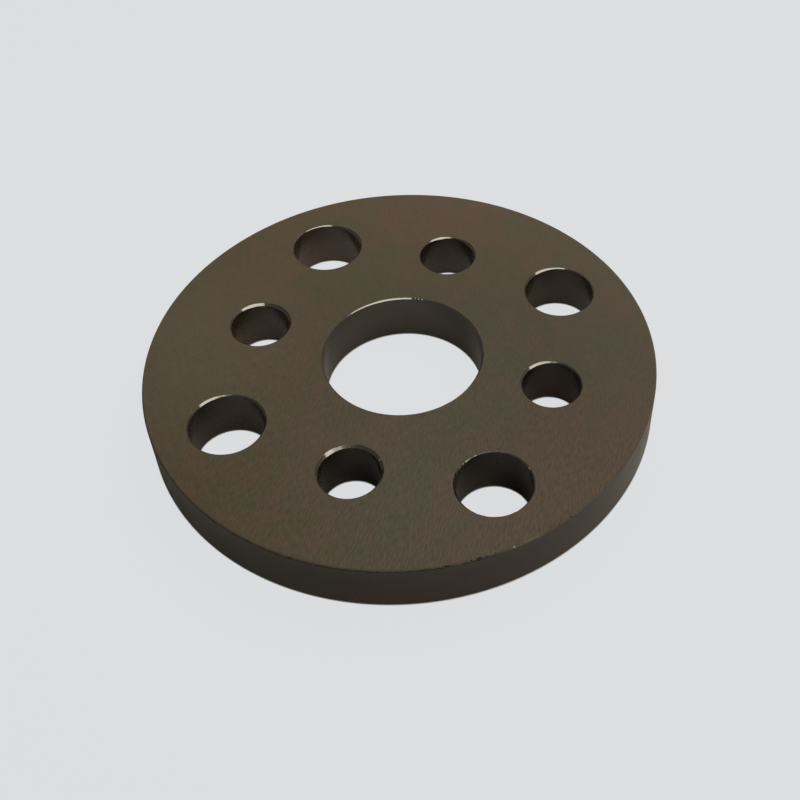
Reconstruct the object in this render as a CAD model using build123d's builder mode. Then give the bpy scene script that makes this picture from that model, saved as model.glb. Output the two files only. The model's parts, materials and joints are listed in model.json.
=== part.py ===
"""Clamping plate: one round steel plate with a central bore and two circles of screw holes.

The plate lies on the XY plane and its bore follows the Z axis. Lengths are in
millimetres and angles in degrees.
"""

import os

from build123d import *

os.makedirs("parts", exist_ok=True)

# The turned and ground blank
plate_diameter = 96.0
plate_thickness = 10.0
rim_break = 0.3

# The bore that centres the plate on its spindle or spigot
bore_diameter = 30.0
bore_break = 0.3

# The outer circle of holes, wide enough for 12 mm screws, with its first hole on the X axis
outer_hole_count = 4
outer_hole_diameter = 13.5
outer_circle_diameter = 70.0

# The inner circle of holes, wide enough for 10 mm screws
inner_hole_count = 4
inner_hole_diameter = 11.0
inner_circle_diameter = 58.0

# Every screw hole is deburred alike, on both faces
hole_break = 0.3

# The first inner hole stands halfway between two outer ones
inner_start_angle = 180.0 / outer_hole_count


def drill(plate, diameter, edge_break):
    """Drill straight through at the current locations and break both edges of each hole."""
    Hole(radius=diameter / 2)
    hole_edges = plate.edges(Select.LAST).filter_by(GeomType.CIRCLE)
    chamfer(hole_edges, length=edge_break)


with BuildPart() as clamping_plate:
    with BuildSketch(Plane.XY):
        Circle(radius=plate_diameter / 2)
    extrude(amount=plate_thickness)
    chamfer(clamping_plate.edges().filter_by(GeomType.CIRCLE), length=rim_break)

    drill(clamping_plate, bore_diameter, bore_break)
    with PolarLocations(outer_circle_diameter / 2, outer_hole_count):
        drill(clamping_plate, outer_hole_diameter, hole_break)
    with PolarLocations(inner_circle_diameter / 2, inner_hole_count, inner_start_angle):
        drill(clamping_plate, inner_hole_diameter, hole_break)

clamping_plate.part.label = "clamping_plate"
export_step(clamping_plate.part, "parts/clamping_plate.step")
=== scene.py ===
import json
import math
import random
from collections import namedtuple

import bpy
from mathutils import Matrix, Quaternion, Vector
from mathutils.geometry import delaunay_2d_cdt


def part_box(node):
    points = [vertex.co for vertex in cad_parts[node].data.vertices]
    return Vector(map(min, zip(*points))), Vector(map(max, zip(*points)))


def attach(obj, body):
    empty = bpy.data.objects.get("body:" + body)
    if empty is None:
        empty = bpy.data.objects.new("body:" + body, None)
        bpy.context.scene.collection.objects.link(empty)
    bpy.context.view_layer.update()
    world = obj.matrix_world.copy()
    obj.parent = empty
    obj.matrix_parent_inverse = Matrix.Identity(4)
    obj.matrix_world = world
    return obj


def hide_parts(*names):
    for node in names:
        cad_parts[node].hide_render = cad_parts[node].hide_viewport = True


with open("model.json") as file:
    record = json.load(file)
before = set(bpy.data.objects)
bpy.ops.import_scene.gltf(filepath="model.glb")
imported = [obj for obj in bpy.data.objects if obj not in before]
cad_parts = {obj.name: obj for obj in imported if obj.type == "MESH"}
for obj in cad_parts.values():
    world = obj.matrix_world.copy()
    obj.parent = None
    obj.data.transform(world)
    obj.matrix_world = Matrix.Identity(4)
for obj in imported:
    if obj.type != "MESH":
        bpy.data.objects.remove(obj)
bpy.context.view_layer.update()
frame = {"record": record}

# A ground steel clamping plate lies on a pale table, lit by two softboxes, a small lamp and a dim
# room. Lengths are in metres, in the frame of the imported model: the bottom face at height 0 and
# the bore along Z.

MM = 0.001
NODE = "clamping_plate"

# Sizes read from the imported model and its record
low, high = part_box(NODE)
mounts = {mount["name"]: mount["dims"] for mount in frame["record"]["mounts"]}
plate_radius = (high.x - low.x) / 2
plate_thickness = high.z - low.z
plate_middle = plate_thickness / 2
bore_radius = mounts["bore"]["r_mm"] * MM
edge_break = (plate_thickness - mounts["bore"]["length_mm"] * MM) / 2

# How finely each circle is cut, in points round it
rim_steps = 1800
bore_steps = 600
hole_steps = 256

# The corners of an edge break aren't quite sharp. Narrow bands beside each corner keep the faces
# next to it flat, and the wide one joins it to the triangles of the face.
corner_round = 0.005 * MM
support_gap = 0.005 * MM
cap_gap = 0.75 * MM
least_break = 0.03 * MM

# How many bands of each wall are flat face, edge break and wall
face_bands = 3
break_bands = 4
wall_bands = 3

# How the edges wander: the random seed, the weakest wave as a share of the strongest, how many
# waves go round, and how far they go in or out
wear_seed = 96
weakest_wave = 0.5
hole_waves = (1, 2, 3)
hole_wander = 0.015 * MM
hole_chatter_waves = (17, 23, 31, 41)
rim_waves = (2, 3, 5, 7)
rim_wander = 0.03 * MM
rim_chatter_waves = (61, 83, 127, 171)
rim_chatter = 0.008 * MM

# The faces' triangles fill the rim's whole outline, and points nearer than same_point are one
convex_hull = 0
same_point = 1e-9

# Order of the material slots on the plate
FACE, WALL, DRILLED, DEBURRED, RIM_EDGE, CHIPPED, BURR = range(7)

# One edge of a wall, with a value for each step round it
Edge = namedtuple("Edge", "widths lifts slots")

# A small mark on an edge: its angle in degrees, its half width along the edge, depth and lift in
# millimetres, and the material that shows in it
Mark = namedtuple("Mark", "angle half_width depth lift slot")

# The top edge of a hole: its widths at angles round the hole as shares of the plain width, how
# hard the tool chattered, and the marks on it
HoleTop = namedtuple("HoleTop", "shares chatter marks")

# How far into a mark its own material shows, as a share of its depth
mark_core = 0.3

# The nicks, chips and burrs on the near part of the rim's top edge
rim_marks = [
    Mark(-94.45, 0.36, -0.08, 0.03, BURR),
    Mark(-93.95, 0.16, -0.12, 0, CHIPPED),
    Mark(-93.4, 0.16, -0.12, 0, CHIPPED),
    Mark(-91.6, 0.30, 0.05, 0, RIM_EDGE),
    Mark(-88.6, 0.50, 0.16, 0, RIM_EDGE),
    Mark(-87.9, 0.35, 0.12, 0.03, RIM_EDGE),
    Mark(-85.3, 0.50, 0.10, 0.02, RIM_EDGE),
    Mark(-83.8, 0.20, -0.12, 0, CHIPPED),
    Mark(-82.4, 0.35, 0.10, 0.02, RIM_EDGE),
    Mark(-80.9, 0.20, -0.12, 0, CHIPPED),
    Mark(-98.4, 0.22, -0.14, 0, CHIPPED),
    Mark(-100.1, 0.26, -0.12, 0, CHIPPED),
    Mark(-101.8, 0.50, 0.05, 0, CHIPPED),
    Mark(-103.3, 0.36, -0.10, 0, CHIPPED),
    Mark(-108.1, 0.80, -0.14, 0, CHIPPED),
]

# How hard the tool chattered round a hole, and each hole's top edge
quiet = 0.006 * MM
rough = 0.035 * MM
bore_chips = [Mark(angle, 0.30, -0.1, 0, CHIPPED) for angle in (54.7, 52.3, 49.5)]
hole_tops = {
    "bore": HoleTop([
        (0, 1.2), (30, 1.1), (48, 0.5), (60, 0.75), (80, 0.85), (92, 0.65), (105, 0.5), (180, 0.9),
    ], quiet, bore_chips),
    "outer_0": HoleTop([
        (0, 0.8), (62, 0.6), (88, 1.05), (112, 1.25), (180, 0.9),
    ], quiet, []),
    "outer_1": HoleTop([
        (0, 1.7), (22, 1.4), (42, 0.6), (64, 0.65), (86, 0.42), (105, 0.38), (180, 0.8),
    ], quiet, []),
    "outer_2": HoleTop([
        (0, 1.2), (60, 0.6), (75, 0.6), (90, 1.0), (102, 1.15), (115, 1.15), (180, 0.9),
    ], quiet, []),
    "outer_3": HoleTop([
        (0, 0.8), (60, 0.4), (85, 0.25), (95, 0.15), (108, 0.4), (135, 1.2), (165, 1.3),
    ], rough, [Mark(-1.7, 0.50, -0.05, 0, BURR)]),
    "inner_0": HoleTop([
        (0, 1.6), (16, 1.3), (38, 0.55), (60, 0.65), (75, 1.1), (88, 0.85), (104, 0.7), (180, 0.8),
    ], quiet, []),
    "inner_1": HoleTop([
        (0, 1.8), (30, 1.8), (58, 1.35), (72, 1.3), (85, 1.4), (97, 1.15), (110, 1.0), (180, 0.9),
    ], quiet, []),
    "inner_2": HoleTop([
        (0, 1.6), (30, 1.7), (72, 1.4), (84, 1.4), (98, 1.75), (115, 1.7), (180, 1.0),
    ], quiet, [Mark(-1.3, 0.36, -0.2, 0, BURR)]),
    "inner_3": HoleTop([
        (0, 0.9), (50, 0.75), (66, 0.95), (82, 1.15), (112, 1.3), (180, 0.9),
    ], quiet, []),
}

# The hidden edges on the underside are plain
plain_edge = HoleTop([(0, 1.0)], quiet, [])


def circle_places(mount_name, start_angle):
    """Centres of the holes of one bolt circle."""
    dims = mounts[mount_name]
    radius = dims["pcd_mm"] * MM / 2
    count = dims["count"]
    turns = [math.radians(start_angle + 360 * step / count) for step in range(count)]
    return [Vector((radius * math.cos(turn), radius * math.sin(turn))) for turn in turns]


def wander(source, steps, waves, strength):
    """A smooth closed wave as one value for each step: sines with whole numbers of waves."""
    values = [0.0] * steps
    for count in waves:
        size = source.uniform(weakest_wave, 1.0) * strength / len(waves) ** 0.5
        shift = source.uniform(0, 2 * math.pi)
        for step in range(steps):
            values[step] += size * math.sin(2 * math.pi * count * step / steps + shift)
    return values


def between_keys(keys, steps):
    """One value for each step of a circle, running smoothly between those at a few angles."""
    values = []
    for step in range(steps):
        angle = 360 * step / steps
        before = min(keys, key=lambda key: (angle - key[0]) % 360)
        after = min(keys, key=lambda key: (key[0] - angle) % 360)
        span = (after[0] - before[0]) % 360 or 360
        share = (angle - before[0]) % 360 / span
        values.append(before[1] + (after[1] - before[1]) * share * share * (3 - 2 * share))
    return values


class PlateMesh:
    """Collects the rings, bands and caps of one closed mesh."""

    def __init__(self):
        self.points = []
        self.faces = []
        self.slots = []

    def ring(self, centre, radii, heights):
        """Adds a closed ring of points and returns their numbers."""
        first = len(self.points)
        steps = len(radii)
        for step in range(steps):
            angle = 2 * math.pi * step / steps
            x = centre.x + radii[step] * math.cos(angle)
            y = centre.y + radii[step] * math.sin(angle)
            self.points.append((x, y, heights[step]))
        return list(range(first, first + steps))

    def band(self, upper, lower, slots, faces_outward):
        """Joins two rings with quads whose normals point away from the steel."""
        steps = len(upper)
        for step in range(steps):
            after = (step + 1) % steps
            quad = [upper[step], lower[step], lower[after], upper[after]]
            if not faces_outward:
                quad.reverse()
            self.faces.append(quad)
            self.slots.append(slots[step])

    def cap(self, rings, faces_up):
        """Fills the flat face between the rim's ring, which comes first, and the hole rings."""
        numbers = [number for ring in rings for number in ring]
        owner = [which for which, ring in enumerate(rings) for number in ring]
        flat = [Vector(self.points[number][:2]) for number in numbers]
        edges = []
        start = 0
        for ring in rings:
            edges += [(start + k, start + (k + 1) % len(ring)) for k in range(len(ring))]
            start += len(ring)
        triangles = delaunay_2d_cdt(flat, edges, [], convex_hull, same_point)[2]
        for triangle in triangles:
            owners = {owner[corner] for corner in triangle}
            if len(owners) == 1 and owners != {0}:
                continue
            face = [numbers[corner] for corner in triangle]
            if not faces_up:
                face.reverse()
            self.faces.append(face)
            self.slots.append(FACE)


def edge_profile(width, lift):
    """Rings of one edge, from face to wall: inset from the wall, drop from the face, and lift."""
    slant = corner_round / math.sqrt(2)
    inner = slant + support_gap
    return [
        (cap_gap, 0, 0),
        (width + corner_round + support_gap, 0, 0),
        (width + corner_round, 0, lift),
        (width - slant, slant, lift),
        (width - inner, inner, lift),
        (inner, width - inner, 0),
        (slant, width - slant, 0),
        (0, width + corner_round, 0),
        (0, width + corner_round + support_gap, 0),
    ]


def edge_rings(mesh, centre, radius, sign, edge, top):
    """Adds the rings of one edge, from the face to the wall, and returns them in that order."""
    profiles = [edge_profile(width, lift) for width, lift in zip(edge.widths, edge.lifts)]
    rings = []
    for level in range(len(profiles[0])):
        radii = [radius + sign * profile[level][0] for profile in profiles]
        heights = [profile[level][1] - profile[level][2] for profile in profiles]
        if top:
            heights = [plate_thickness - drop for drop in heights]
        rings.append(mesh.ring(centre, radii, heights))
    return rings


def add_wall(mesh, centre, radius, is_rim, top_edge, bottom_edge, wall_slot):
    """Adds one round wall with both its edges, and returns its rings on the top and bottom."""
    sign = -1 if is_rim else 1
    upper = edge_rings(mesh, centre, radius, sign, top_edge, True)
    lower = edge_rings(mesh, centre, radius, sign, bottom_edge, False)
    face = [FACE] * len(top_edge.slots)
    wall = [wall_slot] * len(top_edge.slots)
    band_slots = [face] * face_bands + [top_edge.slots] * break_bands + [wall] * wall_bands
    band_slots += [bottom_edge.slots] * break_bands + [face] * face_bands
    rings = upper + lower[::-1]
    for above, below, slots in zip(rings, rings[1:], band_slots):
        mesh.band(above, below, slots, is_rim)
    return upper[0], lower[0]


def marked_edge(radius, widths, edge_slot, marks):
    """An edge with its small marks."""
    steps = len(widths)
    widths = list(widths)
    lifts = [0.0] * steps
    slots = [edge_slot] * steps
    for mark in marks:
        for step in range(steps):
            turn = (360 * step / steps - mark.angle + 180) % 360 - 180
            away = abs(math.radians(turn)) * radius / (mark.half_width * MM)
            if away < 1:
                share = (1 - away * away) ** 2
                widths[step] = max(widths[step] + mark.depth * MM * share, least_break)
                lifts[step] += mark.lift * MM * share
                if share > mark_core:
                    slots[step] = mark.slot
    return Edge(widths, lifts, slots)


def hole_edge(source, radius, steps, top):
    """A hole's edge, which a hand tool leaves uneven: wider here, narrower there, and chattered."""
    slow = wander(source, steps, hole_waves, hole_wander)
    chatter = wander(source, steps, hole_chatter_waves, top.chatter)
    plain = [edge_break * share for share in between_keys(top.shares, steps)]
    widths = [max(a + b + c, least_break) for a, b, c in zip(plain, slow, chatter)]
    return marked_edge(radius, widths, DEBURRED, top.marks)


def rim_edge(source):
    """The rim's top edge, with its small nicks and burrs."""
    slow = wander(source, rim_steps, rim_waves, rim_wander)
    chatter = wander(source, rim_steps, rim_chatter_waves, rim_chatter)
    widths = [edge_break + a + b for a, b in zip(slow, chatter)]
    return marked_edge(plate_radius, widths, RIM_EDGE, rim_marks)


def list_holes():
    """Every hole's name, centre, radius, points round it and wall material."""
    holes = [("bore", Vector((0, 0)), bore_radius, bore_steps, WALL)]
    inner_start = 180 / mounts["outer_screws"]["count"]
    for circle, start_angle in (("outer", 0), ("inner", inner_start)):
        mount_name = circle + "_screws"
        radius = mounts[mount_name]["hole_r_mm"] * MM
        for number, centre in enumerate(circle_places(mount_name, start_angle)):
            holes.append((f"{circle}_{number}", centre, radius, hole_steps, DRILLED))
    return holes


def build_plate():
    """The whole plate as one closed mesh."""
    source = random.Random(wear_seed)
    mesh = PlateMesh()
    rim_bottom = marked_edge(plate_radius, [edge_break] * rim_steps, RIM_EDGE, [])
    caps = [add_wall(mesh, Vector((0, 0)), plate_radius, True, rim_edge(source), rim_bottom, WALL)]
    for name, centre, radius, steps, wall_slot in list_holes():
        top_edge = hole_edge(source, radius, steps, hole_tops[name])
        bottom_edge = hole_edge(source, radius, steps, plain_edge)
        caps.append(add_wall(mesh, centre, radius, False, top_edge, bottom_edge, wall_slot))
    mesh.cap([top for top, bottom in caps], True)
    mesh.cap([bottom for top, bottom in caps], False)
    data = bpy.data.meshes.new("plate")
    data.from_pydata(mesh.points, [], mesh.faces)
    data.polygons.foreach_set("material_index", mesh.slots)
    data.polygons.foreach_set("use_smooth", [True] * len(mesh.faces))
    data.update()
    plate = bpy.data.objects.new("plate", data)
    bpy.context.scene.collection.objects.link(plate)
    return plate


def node(tree, kind, inputs=None, **settings):
    """Adds a node, sets its own settings, and sets or links its inputs."""
    made = tree.nodes.new(kind)
    for name, value in settings.items():
        setattr(made, name, value)
    for key, value in (inputs or {}).items():
        if isinstance(value, bpy.types.NodeSocket):
            tree.links.new(value, made.inputs[key])
        else:
            made.inputs[key].default_value = value
    return made


def new_material(name):
    """A material with its node tree, its shader and the place of each point in metres."""
    material = bpy.data.materials.new(name)
    material.use_nodes = True
    tree = material.node_tree
    place = node(tree, "ShaderNodeTexCoord").outputs["Object"]
    return material, tree, tree.nodes["Principled BSDF"], place


def noise(tree, place, size, turn=0.0, shift=0.0, detail=2.0, roughness=0.5):
    """Noise whose blotches are as long as size says in millimetres, turned about Z."""
    mapped = node(tree, "ShaderNodeMapping", {
        "Vector": place,
        "Location": (shift, shift, shift),
        "Rotation": (0, 0, turn),
        "Scale": [length * MM for length in size],
    }, vector_type="TEXTURE")
    return node(tree, "ShaderNodeTexNoise", {
        "Vector": mapped.outputs[0],
        "Scale": 1.0,
        "Detail": detail,
        "Roughness": roughness,
    }).outputs["Fac"]


# Most of a noise lies between these values
noise_range = (0.3, 0.7)
whole_range = (0, 1)


def spread(tree, value, to, over=noise_range):
    """Maps one range of values onto another, and holds it at both ends."""
    return node(tree, "ShaderNodeMapRange", {
        "Value": value,
        "From Min": over[0],
        "From Max": over[1],
        "To Min": to[0],
        "To Max": to[1],
    }).outputs["Result"]


def maths(tree, operation, *values):
    """One step of arithmetic on sockets and numbers."""
    return node(tree, "ShaderNodeMath", dict(enumerate(values)), operation=operation).outputs[0]


def product(tree, first, *others):
    """The product of two or more values."""
    result = first
    for other in others:
        result = maths(tree, "MULTIPLY", result, other)
    return result


def total(tree, first, *others):
    """The sum of two or more values."""
    result = first
    for other in others:
        result = maths(tree, "ADD", result, other)
    return result


def axis(tree, vector, letter):
    """One coordinate of a place or a direction."""
    return node(tree, "ShaderNodeSeparateXYZ", {"Vector": vector}).outputs[letter]


# A value that runs from near to far between two distances from a centre, in millimetres
Spot = namedtuple("Spot", "centre near far start end")


def point(x, y, z):
    """A place on the plate, given in millimetres."""
    return (x * MM, y * MM, z * MM)


def fade(tree, place, spot):
    """A spot's value at each place."""
    measure = {0: place, 1: spot.centre}
    away = node(tree, "ShaderNodeVectorMath", measure, operation="DISTANCE").outputs["Value"]
    return spread(tree, away, (spot.near, spot.far), (spot.start * MM, spot.end * MM))


def tint(tree, share, first, second):
    """Blends two colours by a share. The first may come from another node."""
    mixer = node(tree, "ShaderNodeMix", {"Factor": share}, data_type="RGBA")
    sockets = [socket for socket in mixer.inputs if socket.type == "RGBA"]
    if isinstance(first, bpy.types.NodeSocket):
        tree.links.new(first, sockets[0])
    else:
        sockets[0].default_value = (*first, 1)
    sockets[1].default_value = (*second, 1)
    return [socket for socket in mixer.outputs if socket.type == "RGBA"][0]


def shade(tree, colour, brightness):
    """A colour made darker or brighter."""
    return node(tree, "ShaderNodeHueSaturation", {"Color": colour, "Value": brightness}).outputs[0]


def finish_surface(tree, surface, colour, roughness, relief, depth):
    """Gives a shader its colour, roughness and fine relief, whose depth is in millimetres."""
    bump = node(tree, "ShaderNodeBump", {"Height": relief, "Distance": depth * MM})
    tree.links.new(colour, surface.inputs["Base Color"])
    tree.links.new(roughness, surface.inputs["Roughness"])
    tree.links.new(bump.outputs["Normal"], surface.inputs["Normal"])


def direction(azimuth, elevation):
    """The unit vector to a place seen from the plate, with both angles in degrees."""
    turn = math.radians(azimuth)
    rise = math.radians(elevation)
    level = math.cos(rise)
    return Vector((level * math.cos(turn), level * math.sin(turn), math.sin(rise)))


grinding_turn = math.radians(47)
oxide_ior = 1.92
polished_ior = 6.4
face_specular = 0.5

# Colours, as linear red, green and blue
olive_steel = (0.095, 0.084, 0.051)
brown_steel = (0.120, 0.081, 0.059)
cool_steel = (0.121, 0.107, 0.076)
olive_oxide = (0.0215, 0.0162, 0.0105)
violet_oxide = (0.0245, 0.0140, 0.0150)
olive_sheen = (0.98, 0.99, 0.84)
violet_sheen = (1.0, 0.90, 0.99)
warm_oxide = (0.047, 0.030, 0.021)
rusty_oxide = (0.050, 0.028, 0.022)
no_sheen = (0.0, 0.0, 0.0)
warm_sheen = (1.0, 0.93, 0.9)
dark_polish = (0.15, 0.12, 0.082)
pale_polish = (0.20, 0.16, 0.112)
full_sheen = (1.0, 1.0, 1.0)
# Reflection of the hole edges where it is painted dimmer
dimmed_sheen = (0.08, 0.08, 0.08)
dark_edge = (0.035, 0.027, 0.022)
pale_edge = (0.195, 0.165, 0.123)
dark_chip = (0.016, 0.012, 0.010)
pale_chip = (0.050, 0.040, 0.030)
# Burr colours: bare steel, painted pale enough to show as glints
dark_glint_burr = (0.55, 0.52, 0.46)
pale_glint_burr = (0.75, 0.72, 0.66)

# Places on the ground face
olive_spot = Spot(point(5, 31, 10), near=-0.7, far=0, start=6, end=15)
brown_centres = (point(26, 36, 10), point(12, -43, 10))
brown_spots = [Spot(centre, near=0.55, far=0, start=8, end=27) for centre in brown_centres]
cool_spot = Spot(point(-40, 22, 10), near=0.75, far=0, start=8, end=32)
scored_spot = Spot(point(-8, -38, 10), near=0.45, far=0.12, start=12, end=60)
# Painted light: the face is painted a little darker at the middle and brighter towards the rim
rim_painted_light_spot = Spot(point(7, -8, 10), near=0.97, far=1.3, start=20, end=52)

# Places on the turned walls. Low down, the rim gets painted shade and a dimmer painted reflection
# towards one end of X, and painted light towards the other; the bore's far wall gets painted light,
# and its sides painted shade and a dimmer painted reflection.
rim_spot = Spot((0, 0, plate_middle), near=0, far=1, start=20, end=40)
# Painted light on the bore's far wall, painted shade and a dimmer painted reflection at its sides
bore_painted_light_centre = point(4, 14, 1)
bore_painted_light_spot = Spot(bore_painted_light_centre, near=1.7, far=0.2, start=8, end=18)
bore_reflection_dimming_spot = Spot(bore_painted_light_centre, near=0.92, far=0.5, start=9, end=16)
low_painted_light_range = (0.0, 2.4)
low_painted_light_side = (-46 * MM, -24 * MM)
low_painted_light_heights = (2 * MM, 8 * MM)
low_reflection_dimming_range = (0.65, 1.0)
low_reflection_dimming_side = (-47 * MM, -34 * MM)
low_reflection_dimming_heights = (2 * MM, 7 * MM)

# Places on the drilled walls
shaded_heights = (4 * MM, 8.5 * MM)
shaded_tones = (1.15, 0.5)
# Painted shade on the walls of the near holes, painted light on those of the far holes
near_hole_shade_spot = Spot(point(-10, -32, 5), near=0.25, far=1.0, start=18, end=32)
far_hole_light_spot = Spot(point(-12, 30, 5), near=1.8, far=1.0, start=16, end=34)
# Painted shade low down in two near holes, where their reflection is painted away too
low_shade_centres = (point(6.8, -34.2, 1), point(-14.9, -19.6, 0.5))
low_shade_spots = [Spot(centre, near=0.12, far=1.0, start=2, end=7.5) for centre in low_shade_centres]

# Places on the holes' edges: painted shade where they face one side, left out round one hole, and
# darker near another hole. Where they face the other way, their reflection is painted dimmer and
# their colour darker.
shade_side = direction(192, 0)
shade_facing = (0.4, 0.6)
dimmed_facing = (0.38, 0.56)
shade_free_spot = Spot(point(35, 0, 10), near=0.0, far=1.0, start=8, end=11)
hole_dark_spot = Spot(point(-5.5, -31, 10), near=1, far=0, start=4, end=6)

# Places on the rim's edges
# The rim's edge break: paler next to the faces and at one side, darker towards the wall
pale_depth = 0.12 * MM
tick_depth = 0.3 * MM
pale_side = (-9 * MM, -4 * MM)
pale_side_shares = (0, 0.85)
# A painted highlight: one short stretch of the rim's top edge is painted brighter
highlight_angle = math.radians(-91)
highlight_x = plate_radius * math.cos(highlight_angle)
highlight_y = plate_radius * math.sin(highlight_angle)
painted_highlight_spot = Spot((highlight_x, highlight_y, plate_thickness), near=1, far=0, start=2.5, end=6)


def ground_face_material():
    """Ground faces: short fine lines and soft patches, cooler at one side, and with painted light
    that makes them paler towards the rim.
    """
    material, tree, surface, place = new_material("ground_face")
    ground = {"turn": grinding_turn, "roughness": 0.6}
    patches = noise(tree, place, size=(5, 3.5, 12), shift=0.3, detail=3.0, **ground)
    lines = noise(tree, place, size=(1.5, 0.3, 5), shift=0.1, **ground)
    hairs = noise(tree, place, size=(2.5, 0.15, 5), shift=0.7, **ground)
    broad = noise(tree, place, size=(20, 15, 20), shift=0.4)
    brownness = [spread(tree, patches, (-0.25, 1.05)), spread(tree, broad, (-0.4, 0.2))]
    brownness += [fade(tree, place, spot) for spot in [olive_spot] + brown_spots]
    patched = tint(tree, total(tree, *brownness), olive_steel, brown_steel)
    colour = tint(tree, fade(tree, place, cool_spot), patched, cool_steel)
    depth = fade(tree, place, scored_spot)
    darkest = maths(tree, "SUBTRACT", 1.0, depth)
    lightest = maths(tree, "ADD", 1.0, depth)
    grain = product(tree, spread(tree, lines, (darkest, lightest)), spread(tree, hairs, (0.9, 1.1)))
    # The brightness holds the grain and the painted light towards the rim
    brightness = product(tree, grain, fade(tree, place, rim_painted_light_spot))
    roughness = spread(tree, lines, (0.48, 0.6))
    relief = product(tree, lines, hairs)
    finish_surface(tree, surface, shade(tree, colour, brightness), roughness, relief, depth=0.01)
    surface.inputs["Specular IOR Level"].default_value = face_specular
    return material


def turned_wall_material():
    """Walls of the rim and the bore: dark and smooth, with faint turned lines, two oxides, and
    painted light, painted shade and dimmer painted reflections in places.
    """
    material, tree, surface, place = new_material("turned_wall")
    lines = noise(tree, place, size=(8, 8, 0.2), shift=0.2)
    patches = noise(tree, place, size=(7, 7, 5), shift=0.5)
    violet = spread(tree, patches, whole_range)
    colour = tint(tree, violet, olive_oxide, violet_oxide)
    sheen = tint(tree, violet, olive_sheen, violet_sheen)
    on_rim = fade(tree, place, rim_spot)
    along = axis(tree, place, "X")
    height = axis(tree, place, "Z")
    # Painted shade and painted light low on the rim, painted light and shade on the bore's wall
    low_painted_light = spread(tree, along, low_painted_light_range, low_painted_light_side)
    rim_painted_light = spread(tree, height, (low_painted_light, 1.0), low_painted_light_heights)
    bore_painted_light = fade(tree, place, bore_painted_light_spot)
    wall_painted_light = spread(tree, on_rim, (bore_painted_light, rim_painted_light), whole_range)
    brightness = product(tree, spread(tree, lines, (0.92, 1.08)), wall_painted_light)
    # Reflections painted dimmer low on the rim at one side and at the sides of the bore
    low_reflection_dimming = spread(tree, along, low_reflection_dimming_range, low_reflection_dimming_side)
    rim_reflection_dimming = spread(tree, height, (low_reflection_dimming, 1.0), low_reflection_dimming_heights)
    bore_reflection_dimming = fade(tree, place, bore_reflection_dimming_spot)
    wall_reflection_dimming = spread(tree, on_rim, (bore_reflection_dimming, rim_reflection_dimming), whole_range)
    tree.links.new(shade(tree, sheen, wall_reflection_dimming), surface.inputs["Specular Tint"])
    roughness = spread(tree, patches, (0.2, 0.28))
    finish_surface(tree, surface, shade(tree, colour, brightness), roughness, lines, depth=0.003)
    surface.inputs["IOR"].default_value = oxide_ior
    return material


def drilled_wall_material():
    """Walls of the screw holes: rings left by the drill and rusty patches, with painted shade
    towards the top, on the near holes and low down in two of them, and painted light on the far
    holes.
    """
    material, tree, surface, place = new_material("drilled_wall")
    rings = noise(tree, place, size=(6, 6, 0.25), shift=0.4)
    patches = noise(tree, place, size=(6, 6, 4), shift=0.9)
    colour = tint(tree, spread(tree, patches, whole_range), warm_oxide, rusty_oxide)
    ringed = spread(tree, rings, (0.9, 1.1))
    shaded = spread(tree, axis(tree, place, "Z"), shaded_tones, shaded_heights)
    # Painted shade on the near holes and painted light on the far ones
    near_hole_shade = fade(tree, place, near_hole_shade_spot)
    far_hole_light = fade(tree, place, far_hole_light_spot)
    # The share that stays pale, outside the painted shade low down
    pale_share = product(tree, *[fade(tree, place, spot) for spot in low_shade_spots])
    brightness = product(tree, ringed, shaded, near_hole_shade, far_hole_light, pale_share)
    # Inside the painted shade low down the reflection is painted away
    tree.links.new(tint(tree, pale_share, no_sheen, warm_sheen), surface.inputs["Specular Tint"])
    roughness = spread(tree, patches, (0.22, 0.3))
    finish_surface(tree, surface, shade(tree, colour, brightness), roughness, rings, depth=0.004)
    surface.inputs["IOR"].default_value = oxide_ior
    return material


def deburred_edge_material():
    """Edge breaks of the holes: polished enough to mirror the softboxes, with painted shade on one
    side and a dimmer painted reflection on the other.
    """
    material, tree, surface, place = new_material("deburred_edge")
    grain = noise(tree, place, size=(0.3, 0.3, 0.3), shift=0.6, detail=3.0)
    colour = tint(tree, spread(tree, grain, whole_range), dark_polish, pale_polish)
    facing = node(tree, "ShaderNodeNewGeometry").outputs["Normal"]
    compare = {0: facing, 1: shade_side}
    sideways = node(tree, "ShaderNodeVectorMath", compare, operation="DOT_PRODUCT").outputs["Value"]
    # Painted shade on breaks that face one side, left out round one hole and joined by a darker
    # patch near another
    shadowed = spread(tree, sideways, whole_range, shade_facing)
    shadowed = product(tree, shadowed, fade(tree, place, shade_free_spot))
    darkening = maths(tree, "MAXIMUM", shadowed, fade(tree, place, hole_dark_spot))
    # Breaks that face the other way get a dimmer painted reflection and a darker colour
    dimmed = spread(tree, axis(tree, facing, "X"), whole_range, dimmed_facing)
    darkening_tone = spread(tree, darkening, (1.0, 0.35), whole_range)
    dimmed_tone = spread(tree, dimmed, (1.0, 0.6), whole_range)
    brightness = product(tree, darkening_tone, dimmed_tone)
    tree.links.new(tint(tree, dimmed, full_sheen, dimmed_sheen), surface.inputs["Specular Tint"])
    roughness = spread(tree, grain, (0.1, 0.16))
    finish_surface(tree, surface, shade(tree, colour, brightness), roughness, grain, depth=0.004)
    surface.inputs["IOR"].default_value = polished_ior
    return material


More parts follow.
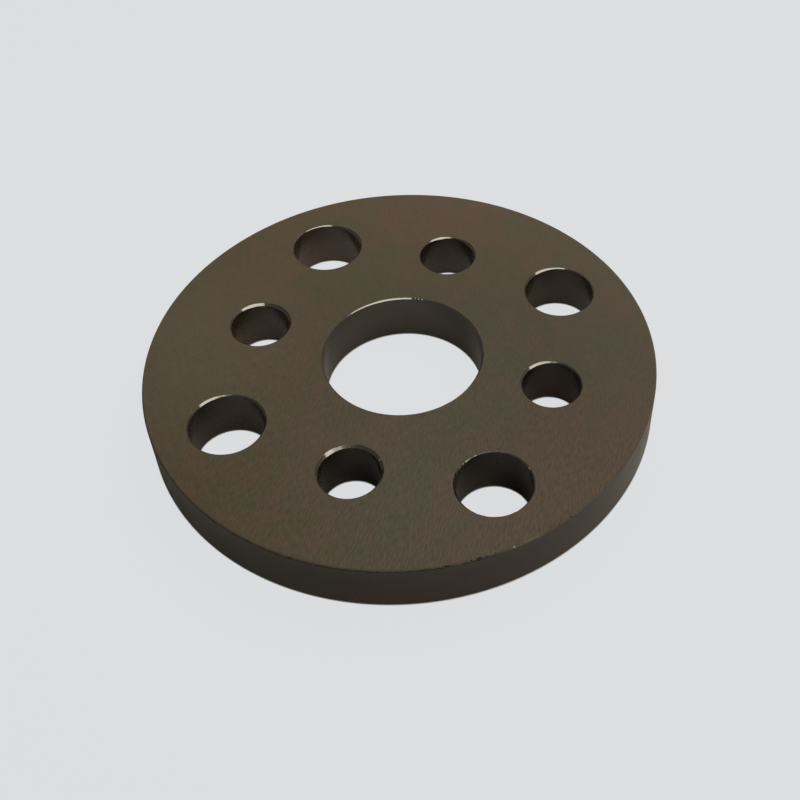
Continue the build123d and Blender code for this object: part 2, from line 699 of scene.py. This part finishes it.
def rim_edge_material():
    """Edge breaks of the rim: paler by the faces and at one side, and with a painted highlight in
    one place.
    """
    material, tree, surface, place = new_material("rim_edge")
    grain = noise(tree, place, size=(0.4, 0.4, 0.4), shift=0.6, detail=3.0)
    ticks = noise(tree, place, size=(0.9, 0.9, 0.3), shift=0.2, detail=3.0, roughness=0.7)
    above = maths(tree, "SUBTRACT", axis(tree, place, "Z"), plate_middle)
    outward = maths(tree, "ABSOLUTE", above)
    ragged = maths(tree, "MULTIPLY_ADD", ticks, tick_depth, outward)
    near_face = spread(tree, ragged, whole_range, (plate_middle - pale_depth, plate_middle))
    at_side = spread(tree, axis(tree, place, "X"), pale_side_shares, pale_side)
    pale_share = maths(tree, "MAXIMUM", near_face, at_side)
    colour = tint(tree, pale_share, dark_edge, pale_edge)
    # The painted highlight along that stretch
    painted_highlight = product(tree, fade(tree, place, painted_highlight_spot), ticks)
    painted_highlight_tone = spread(tree, painted_highlight, (1.0, 1.5), (0.3, 0.6))
    brightness = product(tree, spread(tree, grain, (0.85, 1.15)), painted_highlight_tone)
    roughness = spread(tree, grain, (0.4, 0.5))
    finish_surface(tree, surface, shade(tree, colour, brightness), roughness, grain, depth=0.006)
    return material


def chipped_material():
    """Small chips on the edges, rough and dark inside."""
    material, tree, surface, place = new_material("chipped")
    grain = noise(tree, place, size=(0.2, 0.2, 0.2), shift=0.3, detail=3.0)
    colour = tint(tree, spread(tree, grain, whole_range), dark_chip, pale_chip)
    finish_surface(tree, surface, colour, spread(tree, grain, (0.5, 0.7)), grain, depth=0.01)
    return material


def burr_material():
    """Small burrs of bare steel, their pale colour partly a painted glint: the brightest places on
    the plate.
    """
    material, tree, surface, place = new_material("burr")
    grain = noise(tree, place, size=(0.2, 0.2, 0.2), shift=0.8, detail=3.0)
    colour = tint(tree, spread(tree, grain, whole_range), dark_glint_burr, pale_glint_burr)
    finish_surface(tree, surface, colour, spread(tree, grain, (0.2, 0.3)), grain, depth=0.004)
    surface.inputs["IOR"].default_value = polished_ior
    return material


# The table and the room. The camera sees the table lit from within by table_lift, apart from a
# thin shadow next to the steel.
pale = (0.746, 0.761, 0.778)
table_white = (0.8, 0.8, 0.8)
table_lift = 0.93
table_half = 3.0
table_gap = 0.02 * MM
contact_reach = 0.45 * MM
contact_samples = 8
contact_range = (0.45, 0.62)
room_glow = 0.045

# Corners of the two far softboxes as seen from the plate: azimuth and elevation in degrees
front_corners = [
    (-43, 21), (-61, 29), (-90, 38), (-115, 42.5), (-138, 44), (-142, 62), (-88, 68), (-42, 58),
]
side_corners = [(-20, 42), (0, 36), (28, 30), (61, 28), (61, 48), (-20, 56)]
softbox_distance = 2.0
softbox_colour = (1.0, 0.92, 0.77)
front_radiance = 1.04
side_radiance = 2.1

# The lamp close above the plate
lamp_centre = Vector(point(8, 31, 110))
lamp_radius = 29 * MM
lamp_radiance = 2.95
lamp_corners = 24

# The camera, where the photograph was taken from. The shift is the photograph's crop.
camera_azimuth = -113.674
camera_elevation = 48.18
camera_distance = 0.22627
camera_aim = Vector((0.02731, 0.00648, 0.0))
camera_roll = math.radians(1.31)
camera_lens = 51.82
camera_sensor = 36.0
camera_shift = (-0.1361, -0.1003)
camera_clip = (0.01, 20.0)


def emission(tree, colour, strength):
    """A plain glow."""
    inputs = {"Color": (*colour, 1), "Strength": strength}
    return node(tree, "ShaderNodeEmission", inputs).outputs[0]


def bare_tree(name):
    """A material with an empty node tree."""
    material = bpy.data.materials.new(name)
    material.use_nodes = True
    material.node_tree.nodes.clear()
    return material, material.node_tree


def flat_piece(name, points, material):
    """One flat piece of the stage: the table or a light."""
    data = bpy.data.meshes.new(name)
    data.from_pydata(points, [], [list(range(len(points)))])
    data.materials.append(material)
    made = bpy.data.objects.new(name, data)
    bpy.context.scene.collection.objects.link(made)
    return made


def add_table():
    """The pale table. The camera sees it evenly lit, and the plate mirrors its lit surface."""
    material, tree = bare_tree("pale_table")
    lit = node(tree, "ShaderNodeBsdfDiffuse", {"Color": (*table_white, 1)}).outputs[0]
    glowing = emission(tree, pale, 1.0)
    reach = {"Distance": contact_reach}
    open_air = node(tree, "ShaderNodeAmbientOcclusion", reach, samples=contact_samples)
    seen = node(tree, "ShaderNodeLightPath").outputs["Is Camera Ray"]
    lifted = spread(tree, seen, (0, table_lift), whole_range)
    contact = spread(tree, open_air.outputs["AO"], whole_range, contact_range)
    share = product(tree, lifted, contact)
    mixed = node(tree, "ShaderNodeMixShader", {0: share, 1: lit, 2: glowing}).outputs[0]
    node(tree, "ShaderNodeOutputMaterial", {"Surface": mixed})
    signs = [(-1, -1), (1, -1), (1, 1), (-1, 1)]
    table = flat_piece("table", [(x * table_half, y * table_half, 0) for x, y in signs], material)
    table.location.z = low.z - table_gap


def add_world():
    """Pale behind the table, and a dim room where it lights the plate."""
    world = bpy.data.worlds.new("studio")
    bpy.context.scene.world = world
    world.use_nodes = True
    tree = world.node_tree
    seen = node(tree, "ShaderNodeLightPath").outputs["Is Camera Ray"]
    glow = [channel * room_glow for channel in softbox_colour]
    tree.links.new(tint(tree, seen, glow, pale), tree.nodes["Background"].inputs["Color"])


def add_light(name, corners, radiance):
    """A flat light. It isn't in any view, only mirrored and felt as light."""
    material, tree = bare_tree(name)
    node(tree, "ShaderNodeOutputMaterial", {"Surface": emission(tree, softbox_colour, radiance)})
    light = flat_piece(name, corners, material)
    light.visible_camera = False


def add_softbox(name, directions, radiance):
    """A far softbox whose corners lie in the given directions."""
    towards = [direction(azimuth, elevation) for azimuth, elevation in directions]
    facing = sum(towards, Vector()).normalized()
    add_light(name, [ray * (softbox_distance / ray.dot(facing)) for ray in towards], radiance)


def add_lamp():
    """A small round lamp close above the plate, whose light reaches the table through the holes."""
    turns = [2 * math.pi * corner / lamp_corners for corner in range(lamp_corners)]
    offsets = [Vector((math.cos(turn), math.sin(turn), 0)) * lamp_radius for turn in turns]
    add_light("lamp", [lamp_centre + offset for offset in offsets], lamp_radiance)


def add_camera():
    """The camera, which looks past its aim point by the shift."""
    data = bpy.data.cameras.new("camera")
    data.sensor_width = camera_sensor
    data.lens = camera_lens
    data.shift_x, data.shift_y = camera_shift
    data.clip_start, data.clip_end = camera_clip
    camera = bpy.data.objects.new("camera", data)
    camera.location = direction(camera_azimuth, camera_elevation) * camera_distance
    aimed = (camera_aim - camera.location).to_track_quat("-Z", "Y")
    camera.rotation_mode = "QUATERNION"
    camera.rotation_quaternion = aimed @ Quaternion((0, 0, 1), camera_roll)
    bpy.context.scene.collection.objects.link(camera)
    bpy.context.scene.camera = camera


# In the order of the material slots
finishes = [
    ground_face_material,
    turned_wall_material,
    drilled_wall_material,
    deburred_edge_material,
    rim_edge_material,
    chipped_material,
    burr_material,
]

plate = build_plate()
for finish in finishes:
    plate.data.materials.append(finish())
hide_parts(NODE)
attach(plate, "root")

add_table()
add_world()
add_softbox("front_softbox", front_corners, front_radiance)
add_softbox("side_softbox", side_corners, side_radiance)
add_lamp()
add_camera()
bpy.context.scene.view_settings.view_transform = "Standard"
